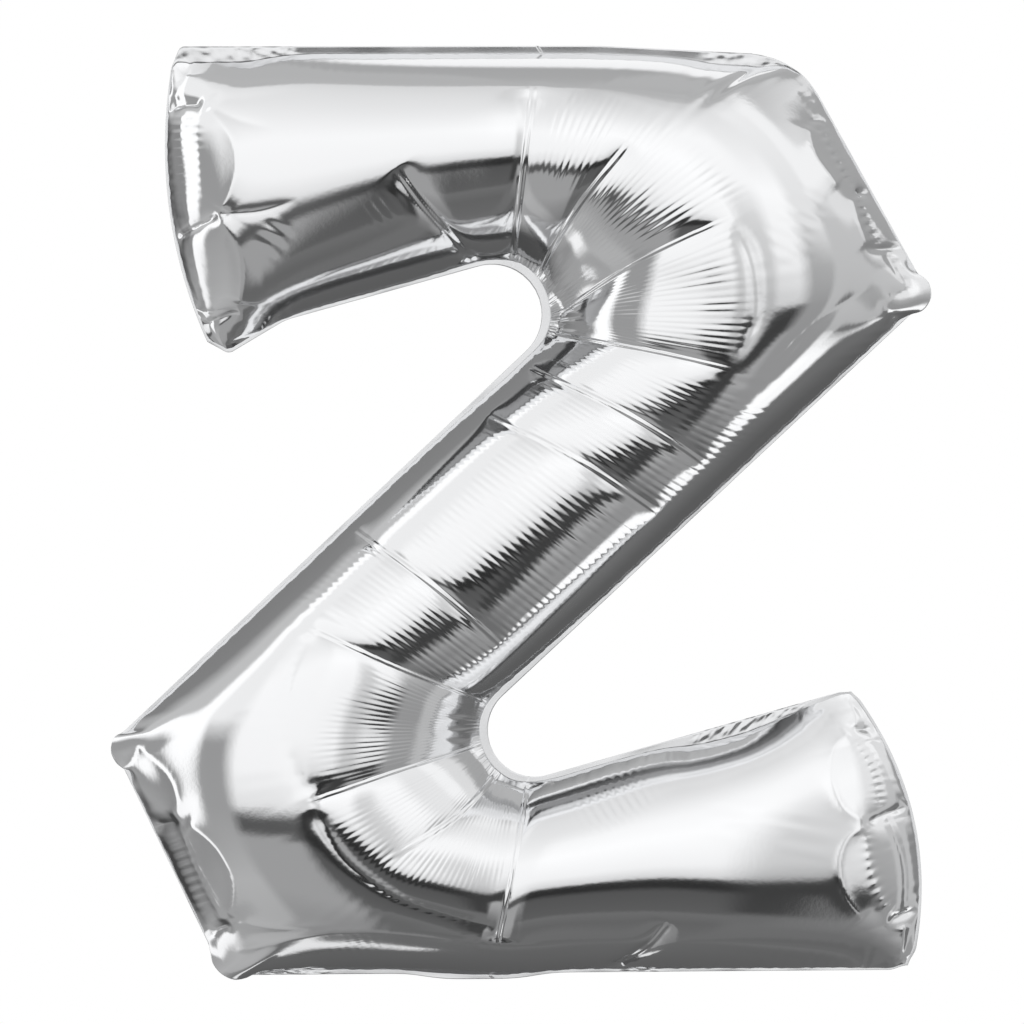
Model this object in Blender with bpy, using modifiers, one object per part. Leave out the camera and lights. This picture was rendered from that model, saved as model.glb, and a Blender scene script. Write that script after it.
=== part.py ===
"""Foil balloon in the shape of the letter Z, inflated.

Two mirror-coated foil sheets are heat-sealed to each other round a Z outline. The sealed border is a
flat band, 9 mm wide, of which 6 mm stand proud of the tube. A filling neck with a flat film valve leaves
the band at the bottom edge and is folded back under the letter. Two hanging tabs leave the band at the
top edge, and are folded back as well.

Metres, +Z up, the front faces -Y, and the origin is the middle of the letter.
"""

import math

import bmesh
import bpy
import numpy as np
from mathutils import Vector

# Driving dimensions. The letter is 0.86 m high, and its tube is deepest at the two corners. Towards an end
# its depth falls to nothing over END_CAP_LENGTH, more steeply the smaller END_CAP_POWER is.
TOP_BAR_HALF_DEPTH = 0.090
UPPER_FAN_HALF_DEPTH = 0.106
DIAGONAL_HALF_DEPTH = 0.092
LOWER_FAN_HALF_DEPTH = 0.102
BOTTOM_BAR_HALF_DEPTH = 0.076
END_CAP_LENGTH = 0.210
END_CAP_POWER = 0.62
CREASE_DEPTH = 0.005
FOIL_THICKNESS = 0.001
BAND_THICKNESS = 0.0012
BAND_OUTSIDE = 0.006
BAND_INSIDE = 0.003
FIT_GAP = 0.0003
RIM_GAP = 0.0009

# The sealed border's outer edge, clockwise as seen from the front: (x, z, corner radius). The upper edge
# runs from the top bar's left end over the right corner to the end of the bottom bar, and the lower edge
# runs the same way under it.
UPPER_EDGE = [
    (-0.323, 0.399, 0.0),
    (-0.299, 0.430, 0.012),
    (0.071, 0.430, 0.300),
    (0.252, 0.421, 0.040),
    (0.375, 0.200, 0.010),
    (-0.148, -0.289, 0.043),
    (0.303, -0.161, 0.0),
]
LOWER_EDGE = [
    (-0.290, 0.158, 0.0),
    (-0.270, 0.147, 0.008),
    (-0.218, 0.178, 0.055),
    (0.138, 0.277, 0.046),
    (-0.378, -0.211, 0.010),
    (-0.275, -0.4245, 0.014),
    (0.358, -0.4195, 0.0),
]
LEFT_END_BULGE = 0.019
RIGHT_END_BULGE = 0.031

# Ribs across the tube, along the creases that part the film into pillows. They fan out from the two inner
# corners. Each rib has its place on the upper and on the lower edge, counted in corners (2.5 is halfway from
# corner 2 to corner 3), the tube's half depth there, the share of its width at which it is deepest, how flat
# it leaves the upper and the lower seam (1 is an ellipse, 2 starts nearly flat), and the columns to the next.
RIBS = [
    (0.000, 0.000, TOP_BAR_HALF_DEPTH, 0.50, 1.0, 1.0, 5),
    (1.000, 1.000, TOP_BAR_HALF_DEPTH, 0.50, 1.0, 1.0, 4),
    (1.200, 2.000, TOP_BAR_HALF_DEPTH, 0.50, 1.0, 1.0, 4),
    (1.600, 2.620, TOP_BAR_HALF_DEPTH, 0.48, 1.0, 1.3, 2),
    (1.850, 2.880, 0.096, 0.48, 1.0, 1.6, 2),
    (2.490, 2.960, 0.104, 0.48, 1.2, 1.8, 2),
    (3.000, 3.000, UPPER_FAN_HALF_DEPTH, 0.53, 1.6, 1.8, 2),
    (3.410, 3.045, UPPER_FAN_HALF_DEPTH, 0.46, 0.7, 1.9, 3),
    (4.000, 3.055, UPPER_FAN_HALF_DEPTH, 0.53, 1.6, 1.8, 2),
    (4.220, 3.066, 0.102, 0.46, 1.1, 1.8, 2),
    (4.420, 3.130, DIAGONAL_HALF_DEPTH, 0.45, 0.8, 1.4, 2),
    (4.525, 3.234, DIAGONAL_HALF_DEPTH, 0.48, 0.9, 1.0, 4),
    (4.840, 3.496, DIAGONAL_HALF_DEPTH, 0.52, 1.0, 1.0, 2),
    (4.928, 3.682, 0.098, 0.57, 1.6, 0.9, 2),
    (4.955, 4.000, LOWER_FAN_HALF_DEPTH, 0.48, 1.8, 1.5, 3),
    (4.980, 4.440, LOWER_FAN_HALF_DEPTH, 0.52, 1.8, 0.9, 2),
    (5.010, 5.000, 0.097, 0.46, 1.8, 1.5, 2),
    (5.041, 5.147, 0.089, 0.52, 1.8, 1.2, 2),
    (5.115, 5.392, 0.078, 0.54, 1.8, 0.9, 4),
    (5.400, 5.550, BOTTOM_BAR_HALF_DEPTH, 0.53, 1.4, 1.0, 4),
    (5.820, 5.860, BOTTOM_BAR_HALF_DEPTH, 0.53, 1.0, 1.0, 5),
    (6.000, 6.000, BOTTOM_BAR_HALF_DEPTH, 0.53, 1.0, 1.0, 0),
]
FIRST_CREASE = 4
LAST_CREASE = 18
ROWS = 12
END_SEAM_STEPS = 12

# Filling neck: two foil plies with the valve's film between them, folded back under the bottom bar.
NECK_X = 0.055
NECK_WIDTH = 0.030
NECK_PLY = 0.0008
NECK_BEND = 0.0047
NECK_RUN = 0.051
VALVE_WIDTH = 0.020
VALVE_EXTRA = 0.006
NECK_FACETS = 3
NECK_HUG = 0.7

# Hanging tabs on the top edge.
TAB_PLACES = {"hang_tab_left": -0.285, "hang_tab_right": 0.200}
TAB_WIDTH = 0.022
TAB_LENGTH = 0.018
TAB_THICKNESS = 0.001
TAB_LEG = 0.002
TAB_BEND = 0.002
TAB_HOLE_RADIUS = 0.0035
TAB_HOLE_PLACE = 0.012


def clear_scene():
    for obj in list(bpy.data.objects):
        bpy.data.objects.remove(obj, do_unlink=True)


def new_collection(name):
    collection = bpy.data.collections.new(name)
    bpy.context.scene.collection.children.link(collection)
    return collection


def make_material(name, colour, roughness, metallic):
    material = bpy.data.materials.new(name)
    material.use_nodes = True
    shader = material.node_tree.nodes["Principled BSDF"]
    shader.inputs["Base Color"].default_value = (*colour, 1.0)
    shader.inputs["Roughness"].default_value = roughness
    shader.inputs["Metallic"].default_value = metallic
    return material


def inset_outline(distance):
    """The border's outer edge moved into the letter by distance, as its upper and its lower edge."""
    corners = UPPER_EDGE + LOWER_EDGE[::-1]
    places = [Vector(corner[:2]) for corner in corners]
    headings = []
    for place, following in zip(places, places[1:] + places[:1]):
        headings.append((following - place).normalized())
    moved = []
    for place, (_, _, radius), before, after in zip(places, corners, headings[-1:] + headings, headings):
        bisector = Vector((before.y + after.y, -before.x - after.x)).normalized()
        turn = before.x * after.y - before.y * after.x
        place = place + bisector * distance / bisector.dot(Vector((after.y, -after.x)))
        inner_radius = radius + math.copysign(distance, turn) if radius else 0.0
        moved.append((*place, inner_radius))
    return moved[: len(UPPER_EDGE)], moved[: len(UPPER_EDGE) - 1 : -1]


class RoundedEdge:
    """A polyline with round corners. A place on it is counted in corners."""

    def __init__(self, corners, steps=12):
        points = [Vector(corners[0][:2])]
        marks = [0]
        for before, (x, z, radius), after in zip(corners, corners[1:], corners[2:]):
            corner = Vector((x, z))
            towards = (Vector(before[:2]) - corner).normalized()
            onwards = (Vector(after[:2]) - corner).normalized()
            half_angle = towards.angle(onwards) / 2
            centre = corner + (towards + onwards).normalized() * radius / math.sin(half_angle)
            start = corner + towards * radius / math.tan(half_angle) - centre
            end = corner + onwards * radius / math.tan(half_angle) - centre
            for k in range(steps + 1):
                spoke = start.lerp(end, k / steps)
                points.append(centre + spoke.normalized() * radius)
            marks.append(len(points) - 1 - steps // 2)
        points.append(Vector(corners[-1][:2]))
        marks.append(len(points) - 1)
        self.points = np.array([tuple(point) for point in points])
        pieces = np.linalg.norm(np.diff(self.points, axis=0), axis=1)
        self.lengths = np.concatenate([[0.0], np.cumsum(pieces)])
        self.mark_lengths = self.lengths[marks]

    def at(self, places):
        wanted = np.interp(places, np.arange(len(self.mark_lengths)), self.mark_lengths)
        return np.stack([np.interp(wanted, self.lengths, self.points[:, axis]) for axis in (0, 1)], axis=-1)


def bulge(first, last, across, height):
    """How far an end seam from first to last stands out of its straight line, at the shares across."""
    chord = (last - first) / np.linalg.norm(last - first)
    outwards = np.array([chord[1], -chord[0]])
    return outwards * (4 * height * across * (1 - across))[:, None]


def outline_loop(distance):
    """The border's outer edge moved into the letter by distance, as a closed loop of (x, z) points."""
    upper, lower = (RoundedEdge(corners).points for corners in inset_outline(distance))
    across = np.linspace(0, 1, END_SEAM_STEPS + 1)[1:-1]
    right = upper[-1] + (lower[-1] - upper[-1]) * across[:, None]
    right += bulge(lower[-1], upper[-1], across, RIGHT_END_BULGE)
    left = lower[0] + (upper[0] - lower[0]) * across[:, None]
    left += bulge(upper[0], lower[0], across, LEFT_END_BULGE)
    return np.concatenate([upper, right, lower[::-1], left])


def column_values():
    """Each column's place in RIBS, counted in ribs, and its values. Columns crowd towards the two ends."""
    ribs = np.array(RIBS)
    index = [0.0]
    for rib, count in enumerate(ribs[:-1, -1].astype(int)):
        shares = np.arange(1, count + 1) / count
        if rib == 0:
            shares = shares**2
        elif rib == len(ribs) - 2:
            shares = 1 - (1 - shares) ** 2
        index.extend(rib + shares)
    values = [np.interp(index, np.arange(len(ribs)), ribs[:, k]) for k in range(ribs.shape[1] - 1)]
    return np.array(index), values


def sheet_points():
    """The front sheet's outer surface, as columns by rows of (x, depth, z)."""
    upper_edge, lower_edge = (RoundedEdge(corners) for corners in inset_outline(BAND_OUTSIDE))
    index, (upper_places, lower_places, half_depth, ridge, upper_taper, lower_taper) = column_values()
    upper, lower = upper_edge.at(upper_places), lower_edge.at(lower_places)
    steps = np.linalg.norm(np.diff((upper + lower) / 2, axis=0), axis=1)
    from_left = np.concatenate([[0.0], np.cumsum(steps)])
    left_share = np.clip(from_left / END_CAP_LENGTH, 0, 1)
    right_share = np.clip((from_left[-1] - from_left) / END_CAP_LENGTH, 0, 1)
    cap = (1 - (1 - np.minimum(left_share, right_share)) ** 2) ** END_CAP_POWER
    pillow = np.abs(np.sin(math.pi * index)) * ((index > FIRST_CREASE) & (index < LAST_CREASE))
    angle = np.linspace(0, math.pi, ROWS + 1)
    turn = np.cos(angle)
    ridge, upper_taper, lower_taper = ridge[:, None], upper_taper[:, None], lower_taper[:, None]
    across = np.where(turn > 0, ridge * (1 - turn), 1 - (1 - ridge) * (1 + turn))
    taper = np.where(turn > 0, upper_taper, lower_taper)
    flat = upper[:, None] + (lower - upper)[:, None] * across[..., None]
    flat += (1 - left_share)[:, None, None] ** 2 * bulge(upper[0], lower[0], across[0], LEFT_END_BULGE)
    flat += (1 - right_share)[:, None, None] ** 2 * bulge(lower[-1], upper[-1], across[-1], RIGHT_END_BULGE)
    depth = (half_depth * cap + CREASE_DEPTH * pillow)[:, None] * np.sin(angle) ** taper
    return np.stack([flat[..., 0], depth, flat[..., 1]], axis=-1)


def grid_object(name, points, thickness, offset, collection, material):
    """A grid moved onto columns by rows of points, then given its thickness."""
    columns, rows = points.shape[0] - 1, points.shape[1] - 1
    shape = bmesh.new()
    bmesh.ops.create_grid(shape, x_segments=columns, y_segments=rows, size=0.5)
    for vert in shape.verts:
        column = round((vert.co.x + 0.5) * columns)
        row = round((vert.co.y + 0.5) * rows)
        vert.co = Vector(points[column, row])
    mesh = bpy.data.meshes.new(name)
    shape.to_mesh(mesh)
    shape.free()
    mesh.materials.append(material)
    mesh.shade_smooth()
    obj = bpy.data.objects.new(name, mesh)
    collection.objects.link(obj)
    solid = obj.modifiers.new("Thickness", "SOLIDIFY")
    solid.thickness = thickness
    solid.offset = offset
    return obj


def foil_sheet(name, side, points, collection, material):
    """One foil sheet, its thickness on the inside: side is -1 for the front and 1 for the back."""
    seat = BAND_THICKNESS / 2 + RIM_GAP
    placed = points * (1, side, 1) + (0, side * seat, 0)
    if side < 0:
        placed = placed[:, ::-1]
    return grid_object(name, placed, FOIL_THICKNESS, -1.0, collection, material)


def seal_band(collection, material):
    """The sealed border: a flat ring on the letter's middle plane."""
    curve = bpy.data.curves.new("perimeter_seal_band", "CURVE")
    curve.dimensions = "2D"
    curve.fill_mode = "BOTH"
    curve.extrude = BAND_THICKNESS / 2
    for distance in (0.0, BAND_OUTSIDE + BAND_INSIDE):
        loop = outline_loop(distance)
        spline = curve.splines.new("POLY")
        spline.points.add(len(loop) - 1)
        spline.use_cyclic_u = True
        for point, (x, z) in zip(spline.points, loop):
            point.co = (x, z, 0.0, 1.0)
    curve.materials.append(material)
    obj = bpy.data.objects.new("perimeter_seal_band", curve)
    obj.rotation_euler = (math.pi / 2, 0.0, 0.0)
    collection.objects.link(obj)
    return obj


def folded_strip(name, x_middle, width, path, thickness, collection, material):
    """A strip of film whose middle follows a path of (y, z) points, width wide along X."""
    path = np.array(path)
    points = np.empty((2, len(path), 3))
    points[0, :, 0] = x_middle - width / 2
    points[1, :, 0] = x_middle + width / 2
    points[:, :, 1:] = path
    return grid_object(name, points, thickness, 0.0, collection, material)


def border_height(corners, x_place):
    """Height of the border's outer edge at x_place, between corners that run from left to right."""
    return float(np.interp(x_place, [corner[0] for corner in corners], [corner[1] for corner in corners]))


def quarter_bend(y_centre, z_centre, radius):
    """A quarter turn from straight up to straight back."""
    bend = []
    for k in range(6):
        angle = math.pi / 2 * k / 5
        bend.append((y_centre - radius * math.cos(angle), z_centre + radius * math.sin(angle)))
    return bend


def neck_path(layer):
    """The middle of one layer of the neck: up the band's back face, then back along the underside."""
    border_bottom = border_height(LOWER_EDGE[-2:], NECK_X - NECK_WIDTH / 2)
    spacing = layer * (NECK_PLY + FIT_GAP)
    y_centre = BAND_THICKNESS / 2 + FIT_GAP + NECK_PLY / 2 + NECK_BEND
    z_centre = border_bottom + BAND_OUTSIDE - FIT_GAP - NECK_PLY / 2 - NECK_BEND
    path = quarter_bend(y_centre, z_centre, NECK_BEND - spacing)
    path.insert(0, (path[0][0], border_bottom + 0.0002))
    underside = path[-1][1]
    for k in range(1, NECK_FACETS + 1):
        y = y_centre + NECK_RUN * k / NECK_FACETS
        rise = BOTTOM_BAR_HALF_DEPTH - math.sqrt(BOTTOM_BAR_HALF_DEPTH**2 - y**2)
        path.append((y, underside + NECK_HUG * rise))
    return path


def filling_neck(collection, foil, film):
    folded_strip("neck_inner_ply", NECK_X, NECK_WIDTH, neck_path(0), NECK_PLY, collection, foil)
    valve_path = neck_path(1)
    (y_before, z_before), (y_last, z_last) = valve_path[-2:]
    slope = (z_last - z_before) / (y_last - y_before)
    valve_path.append((y_last + VALVE_EXTRA, z_last + slope * VALVE_EXTRA))
    folded_strip("valve_film", NECK_X, VALVE_WIDTH, valve_path, NECK_PLY, collection, film)
    folded_strip("neck_outer_ply", NECK_X, NECK_WIDTH, neck_path(2), NECK_PLY, collection, foil)


def hanging_tab(name, x_place, collection, cutters, material):
    """A tab of the border, folded back over the letter's top, with a hole for a ribbon."""
    z_top = border_height(UPPER_EDGE[1:4], x_place) - TAB_THICKNESS / 2
    y_centre = BAND_THICKNESS / 2 + FIT_GAP + TAB_THICKNESS / 2 + TAB_BEND
    path = quarter_bend(y_centre, z_top - TAB_BEND, TAB_BEND)
    path.insert(0, (path[0][0], path[0][1] - TAB_LEG))
    path.append((y_centre + TAB_LENGTH, z_top))
    tab = folded_strip(name, x_place, TAB_WIDTH, path, TAB_THICKNESS, collection, material)
    bpy.ops.mesh.primitive_cylinder_add(vertices=24, radius=TAB_HOLE_RADIUS, depth=4 * TAB_THICKNESS)
    cutter = bpy.context.object
    cutter.name = name + "_hole"
    cutter.location = (x_place, y_centre + TAB_HOLE_PLACE, z_top)
    for owner in list(cutter.users_collection):
        owner.objects.unlink(cutter)
    cutters.objects.link(cutter)
    cutter.hide_render = True
    cutter.display_type = "WIRE"
    cut = tab.modifiers.new("Ribbon hole", "BOOLEAN")
    cut.operation = "DIFFERENCE"
    cut.object = cutter
    return tab


def build():
    clear_scene()
    parts = new_collection("letter_balloon")
    cutters = new_collection("cutters")
    foil = make_material("mirror_foil", (0.86, 0.87, 0.88), 0.10, 1.0)
    sealed = make_material("sealed_border", (0.74, 0.75, 0.76), 0.24, 1.0)
    film = make_material("clear_film", (0.82, 0.84, 0.85), 0.30, 0.0)
    points = sheet_points()
    foil_sheet("front_foil_sheet", -1, points, parts, foil)
    foil_sheet("back_foil_sheet", 1, points, parts, foil)
    seal_band(parts, sealed)
    filling_neck(parts, foil, film)
    for name, x_place in TAB_PLACES.items():
        hanging_tab(name, x_place, parts, cutters, sealed)


build()
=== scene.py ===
"""Looks of an inflated foil balloon in the shape of the letter Z.

The two foil sheets start as the flat letter that the film was cut to. A small film simulation inflates
them: the film hardly stretches but wrinkles freely, and its seam stays in the letter's middle plane. The
result is fitted to the letter's outline, then gets the fine pleats and the double creases that are too
narrow for the simulation's grid.

Metres, +Z up, and the front faces -Y.
"""

import math

import bmesh
import bpy
import numpy as np
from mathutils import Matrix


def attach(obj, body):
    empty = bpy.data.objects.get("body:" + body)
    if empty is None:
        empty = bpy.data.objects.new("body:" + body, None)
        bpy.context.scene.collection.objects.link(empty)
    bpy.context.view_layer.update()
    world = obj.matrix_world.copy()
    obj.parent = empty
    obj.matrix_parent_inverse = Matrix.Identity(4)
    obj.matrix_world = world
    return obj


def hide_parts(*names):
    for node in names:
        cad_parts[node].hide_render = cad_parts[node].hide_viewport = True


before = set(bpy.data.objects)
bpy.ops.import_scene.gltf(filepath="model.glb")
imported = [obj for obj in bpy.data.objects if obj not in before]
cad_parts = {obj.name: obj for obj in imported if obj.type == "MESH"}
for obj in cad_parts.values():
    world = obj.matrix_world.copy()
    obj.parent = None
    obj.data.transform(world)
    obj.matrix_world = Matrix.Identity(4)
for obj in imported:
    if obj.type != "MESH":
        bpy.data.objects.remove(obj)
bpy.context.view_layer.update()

# The sealed border's outer edge, clockwise from the front: (x, z, corner radius). The upper edge runs from
# the top bar's left end over the right corner to the end of the bottom bar, the lower one under it.
UPPER_EDGE = (
    (-0.3228, 0.4105, 0.0), (-0.315, 0.4295, 0.006), (0.071, 0.43, 0.3), (0.252, 0.421, 0.04),
    (0.375, 0.2, 0.01), (-0.148, -0.289, 0.043), (0.303, -0.161, 0.0),
)
LOWER_EDGE = (
    (-0.29, 0.158, 0.0), (-0.27, 0.147, 0.008), (-0.218, 0.178, 0.055), (0.138, 0.277, 0.046),
    (-0.378, -0.211, 0.01), (-0.275, -0.4245, 0.014), (0.358, -0.4195, 0.0),
)
# How far the left and the right end seam bulge out, and how far along the tube that reaches.
END_BULGES = (0.019, 0.031)
END_FADE = 0.12

# Where the bottom edge sags, how far, half the width of that place, and the depths below the middle over
# which the sag sets in.
SAG_X = -0.039
SAG = 0.0055
SAG_HALF_WIDTH = 0.055
SAG_DEPTHS = (0.33, 0.42)
# Tips near which the seam goes where the inflated film takes it, and the distances from a tip over which
# the border holds it again.
FREE_TIPS = ((0.375, 0.200), (-0.378, -0.211), (-0.275, -0.4245))
FREE_REACH = (0.015, 0.045)
# Corners that give way: their place, how far they move and how far around them the film goes along.
SOFT_CORNERS = (
    ((0.252, 0.421), (-0.0012, -0.0062), 0.044),
    ((0.303, -0.161), (-0.0008, -0.0024), 0.014),
    ((0.358, -0.4195), (-0.0035, 0.0040), 0.022),
)

# The same corners on the flat film, before it was inflated. It is wider and taller than the letter.
FLAT_UPPER_EDGE = (
    (-0.35, 0.509, 0.0), (-0.328, 0.532, 0.03), (0.058, 0.511, 0.3), (0.241, 0.474, 0.03),
    (0.381, 0.249, 0.02), (0.013, -0.287, 0.03), (0.38, -0.286, 0.0),
)
FLAT_LOWER_EDGE = (
    (-0.363, 0.248, 0.0), (-0.353, 0.236, 0.01), (-0.294, 0.239, 0.05), (-0.023, 0.224, 0.03),
    (-0.372, -0.294, 0.02), (-0.248, -0.515, 0.03), (0.398, -0.548, 0.0),
)
FLAT_END_BULGE = 0.030
FLAT_FADE = 0.15

# Ribs across the tube, along which the film pleats: each one's place on the upper and on the lower edge,
# counted in corners. They fan out from the two inner corners.
RIBS = (
    (0.0, 0.0), (1.0, 1.0), (1.2, 2.0), (1.6, 2.62), (1.85, 2.88), (2.49, 2.96), (3.0, 3.0),
    (3.41, 3.045), (4.0, 3.055), (4.22, 3.066), (4.42, 3.13), (4.525, 3.234), (4.84, 3.496),
    (4.928, 3.682), (4.955, 4.0), (4.98, 4.44), (5.01, 5.0), (5.041, 5.147), (5.115, 5.392), (5.4, 5.55),
    (5.82, 5.86), (6.0, 6.0),
)

# The width of the sealed border outside the seam, by place along each edge: hardly any where the gathered
# pillows hang over it, more round the two inner corners, and most where the edge is crumpled.
NARROWEST_BORDER = 0.001
WIDEST_BORDER = 0.016
UPPER_BORDER = (
    (0.0, 0.0015), (0.35, 0.004), (0.8, 0.015), (1.15, 0.015), (1.24, 0.007), (2.4, 0.0065), (2.6, 0.012),
    (2.85, 0.012), (2.96, 0.003), (3.05, 0.0012), (4.0, 0.0012), (4.1, 0.0025), (4.75, 0.0025),
    (4.9, 0.008), (5.1, 0.008), (5.3, 0.004), (5.5, 0.005), (5.6, 0.012), (5.76, 0.013), (5.87, 0.006),
    (6.0, 0.002),
)
LOWER_BORDER = (
    (0.0, 0.002), (1.2, 0.003), (2.6, 0.003), (2.9, 0.0085), (3.1, 0.0085), (3.25, 0.003), (3.9, 0.003),
    (4.0, 0.0012), (5.0, 0.0012), (5.1, 0.004), (5.3, 0.004), (5.4, 0.003), (6.0, 0.002),
)

# The filling neck, from the border back along the film's underside: the middle of its width, where it
# starts, how far its innermost layer lies from the film, how far its free end lifts, how far apart its
# layers lie, and each layer's CAD node, slot, width and reach.
NECK_X = 0.055
NECK_ROOT = (0.0004, -0.4212)
NECK_CLEARANCE = 0.0009
NECK_LIFT = 0.006
NECK_SPACING = 0.0008
NECK_REACH = 0.057
NECK_LAYERS = {
    "neck_ply_inner": ("neck_inner_ply", "mirror_foil", 0.030, NECK_REACH),
    "valve_sleeve": ("valve_film", "clear_film", 0.020, 0.063),
    "neck_ply_outer": ("neck_outer_ply", "mirror_foil", 0.030, NECK_REACH),
}
NECK_CRINKLE = 0.0002
NECK_SEED = 70

# The hanging tabs on the top edge: the middle of each, the height of its upper face, and its shape. Only
# the part that lies flat is above TAB_FLAT.
TABS = {"left": (-0.285, 0.4298), "right": (0.200, 0.4234)}
TAB_WIDTH = 0.022
TAB_ROOT = 0.0014
TAB_BEND = 0.002
TAB_TIP = 0.0213
TAB_CORNER = 0.005
TAB_HOLE_RADIUS = 0.0035
TAB_HOLE_PLACE = 0.0154
TAB_FLAT = 0.41
TAB_CRINKLE = 0.00015
TAB_SEED = 90

# The grid of the neck's and tabs' strips, and how thick they and the border are.
STRIP_GRID = 0.0005
STRIP_THICKNESS = 0.00025
BORDER_THICKNESS = 0.0003

# The photograph's frame: 1024 pixels a side, and the letter's middle lies at this pixel.
PIXELS = 1024
METRES_PER_PIXEL = 0.00091979
MIDDLE_PIXEL = (522.5, 513.5)
CAMERA_DISTANCE = 7.0

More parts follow.
